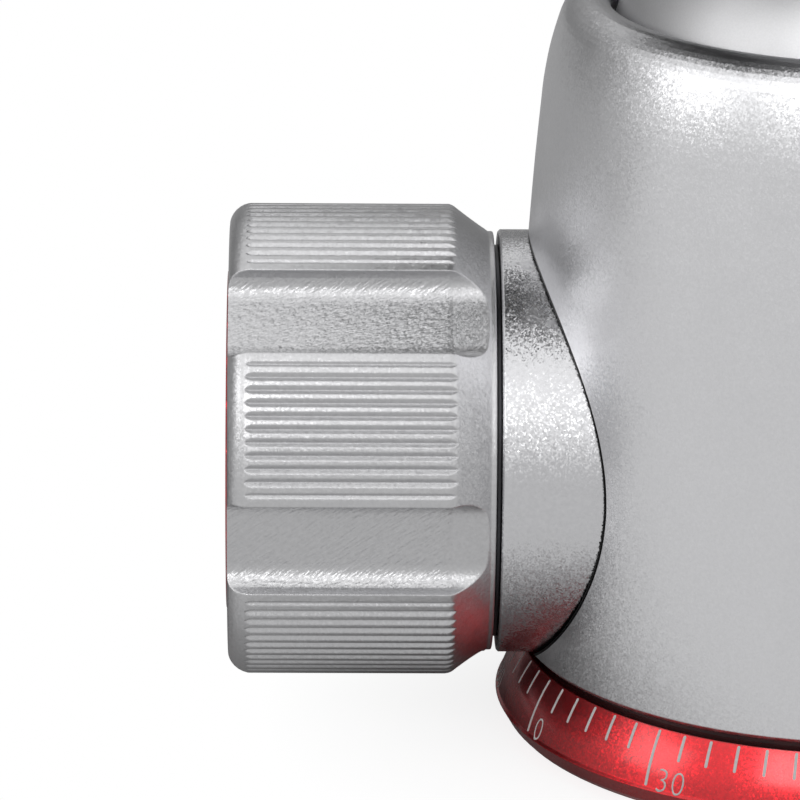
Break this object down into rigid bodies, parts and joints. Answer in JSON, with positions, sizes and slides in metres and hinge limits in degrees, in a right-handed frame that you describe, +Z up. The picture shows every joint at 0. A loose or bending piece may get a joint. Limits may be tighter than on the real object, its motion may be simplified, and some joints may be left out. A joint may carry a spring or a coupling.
{
  "type": "tripod ball head",
  "caption": "Ball head for a tripod: lobed locking knob with a friction dial, panning base with a red degree scale, and a dovetail clamp on the ball's neck.",
  "frame": {"origin": "centre of the tripod seat face, at the mouth of the tripod thread", "axes": "+Z up along the panning axis; the locking knob points along -X, the drop notch opens along +Y, and the dovetail runs along Y"},
  "size_m": [0.0898, 0.055, 0.0956],
  "materials": {
    "red_anodised": "bead-blasted, dyed red",
    "satin_aluminium": "bead-blasted, clear anodised",
    "plain_aluminium": "turned",
    "bright_steel": "turned, stainless",
    "dark_steel": "black oxide",
    "bearing_polymer": "smooth black",
    "bearing_brass": "turned",
    "black_anodised": "bead-blasted, black",
    "level_glass": "clear with tinted liquid"
  },
  "bodies": {
    "base": {"pan_ring": "red_anodised", "pan_spindle": "bright_steel", "spindle_screws": "dark_steel", "thrust_washer": "bearing_polymer", "retaining_nut": "bright_steel"},
    "housing": {"housing": "satin_aluminium", "seat_ring": "bearing_polymer", "bottom_plate": "plain_aluminium", "knob_collar": "satin_aluminium", "main_bush": "bearing_brass", "knob_washer": "bright_steel", "pan_bush": "bright_steel"},
    "main_knob": {"main_knob": "satin_aluminium", "main_screw": "bright_steel", "screw_clip": "dark_steel"},
    "dial": {"drag_dial": "red_anodised", "drag_screw": "dark_steel"},
    "wedge": {"wedge": "bearing_brass"},
    "cup": {"lower_cup": "bearing_brass"},
    "pan_shoe": {"pan_shoe": "bearing_brass"},
    "pan_knob": {"pan_knob": "satin_aluminium", "pan_screw": "bright_steel"},
    "ball": {"ball": "satin_aluminium"},
    "neck": {"neck": "satin_aluminium"},
    "clamp": {"clamp_body": "black_anodised", "clamp_bolt": "dark_steel", "guide_pins": "bright_steel", "jaw_springs": "bright_steel", "level_ring": "satin_aluminium", "level_vial": "level_glass"},
    "jaw": {"clamp_jaw": "black_anodised", "clamp_washer": "bearing_brass"},
    "clamp_knob": {"clamp_knob": "black_anodised", "clamp_screw": "bright_steel"}
  },
  "joints": [
    {"name": "pan", "type": "hinge", "parent": "base", "child": "housing", "pos_m": [0, 0, 0], "axis": [0, 0, 1], "continuous": true},
    {"name": "knob_turn", "type": "hinge", "parent": "housing", "child": "main_knob", "pos_m": [0, 0, 0.022], "axis": [-1, 0, 0], "range_deg": [0, 542]},
    {"name": "dial_turn", "type": "hinge", "parent": "main_knob", "child": "dial", "pos_m": [0, 0, 0.022], "axis": [-1, 0, 0], "range_deg": [0, 300]},
    {"name": "wedge_slide", "type": "slide", "parent": "housing", "child": "wedge", "axis": [1, 0, 0], "range_m": [0, 0.0015]},
    {"name": "cup_drop", "type": "slide", "parent": "housing", "child": "cup", "axis": [0, 0, 1], "range_m": [-0.00025, 0]},
    {"name": "pan_knob_turn", "type": "hinge", "parent": "pan_shoe", "child": "pan_knob", "pos_m": [0, 0, 0.012], "axis": [1, 0, 0], "range_deg": [0, 361.5]},
    {"name": "shoe_slide", "type": "slide", "parent": "housing", "child": "pan_shoe", "axis": [1, 0, 0], "range_m": [0, 0.0008]},
    {"name": "ball_tilt", "type": "hinge", "parent": "housing", "child": "ball", "pos_m": [0, 0, 0.05], "axis": [0, 1, 0], "range_deg": [-35, 35]},
    {"name": "ball_drop", "type": "hinge", "parent": "ball", "child": "neck", "pos_m": [0, 0, 0.05], "axis": [-1, 0, 0], "range_deg": [-35, 90]},
    {"name": "clamp_spin", "type": "hinge", "parent": "neck", "child": "clamp", "pos_m": [0, 0, 0.05], "axis": [0, 0, 1], "continuous": true},
    {"name": "clamp_knob_turn", "type": "hinge", "parent": "jaw", "child": "clamp_knob", "pos_m": [0, 0, 0.08435], "axis": [-1, 0, 0], "range_deg": [0, 1084]},
    {"name": "jaw_slide", "type": "slide", "parent": "clamp", "child": "jaw", "axis": [-1, 0, 0], "range_m": [0, 0.00375]}
  ],
  "couplings": [
    {"joint": "knob_turn", "follows": "wedge_slide", "rad_per_m": 6283.2},
    {"joint": "cup_drop", "follows": "wedge_slide", "ratio": -0.16},
    {"joint": "pan_knob_turn", "follows": "shoe_slide", "rad_per_m": 7854},
    {"joint": "clamp_knob_turn", "follows": "jaw_slide", "rad_per_m": 5026.5}
  ]
}
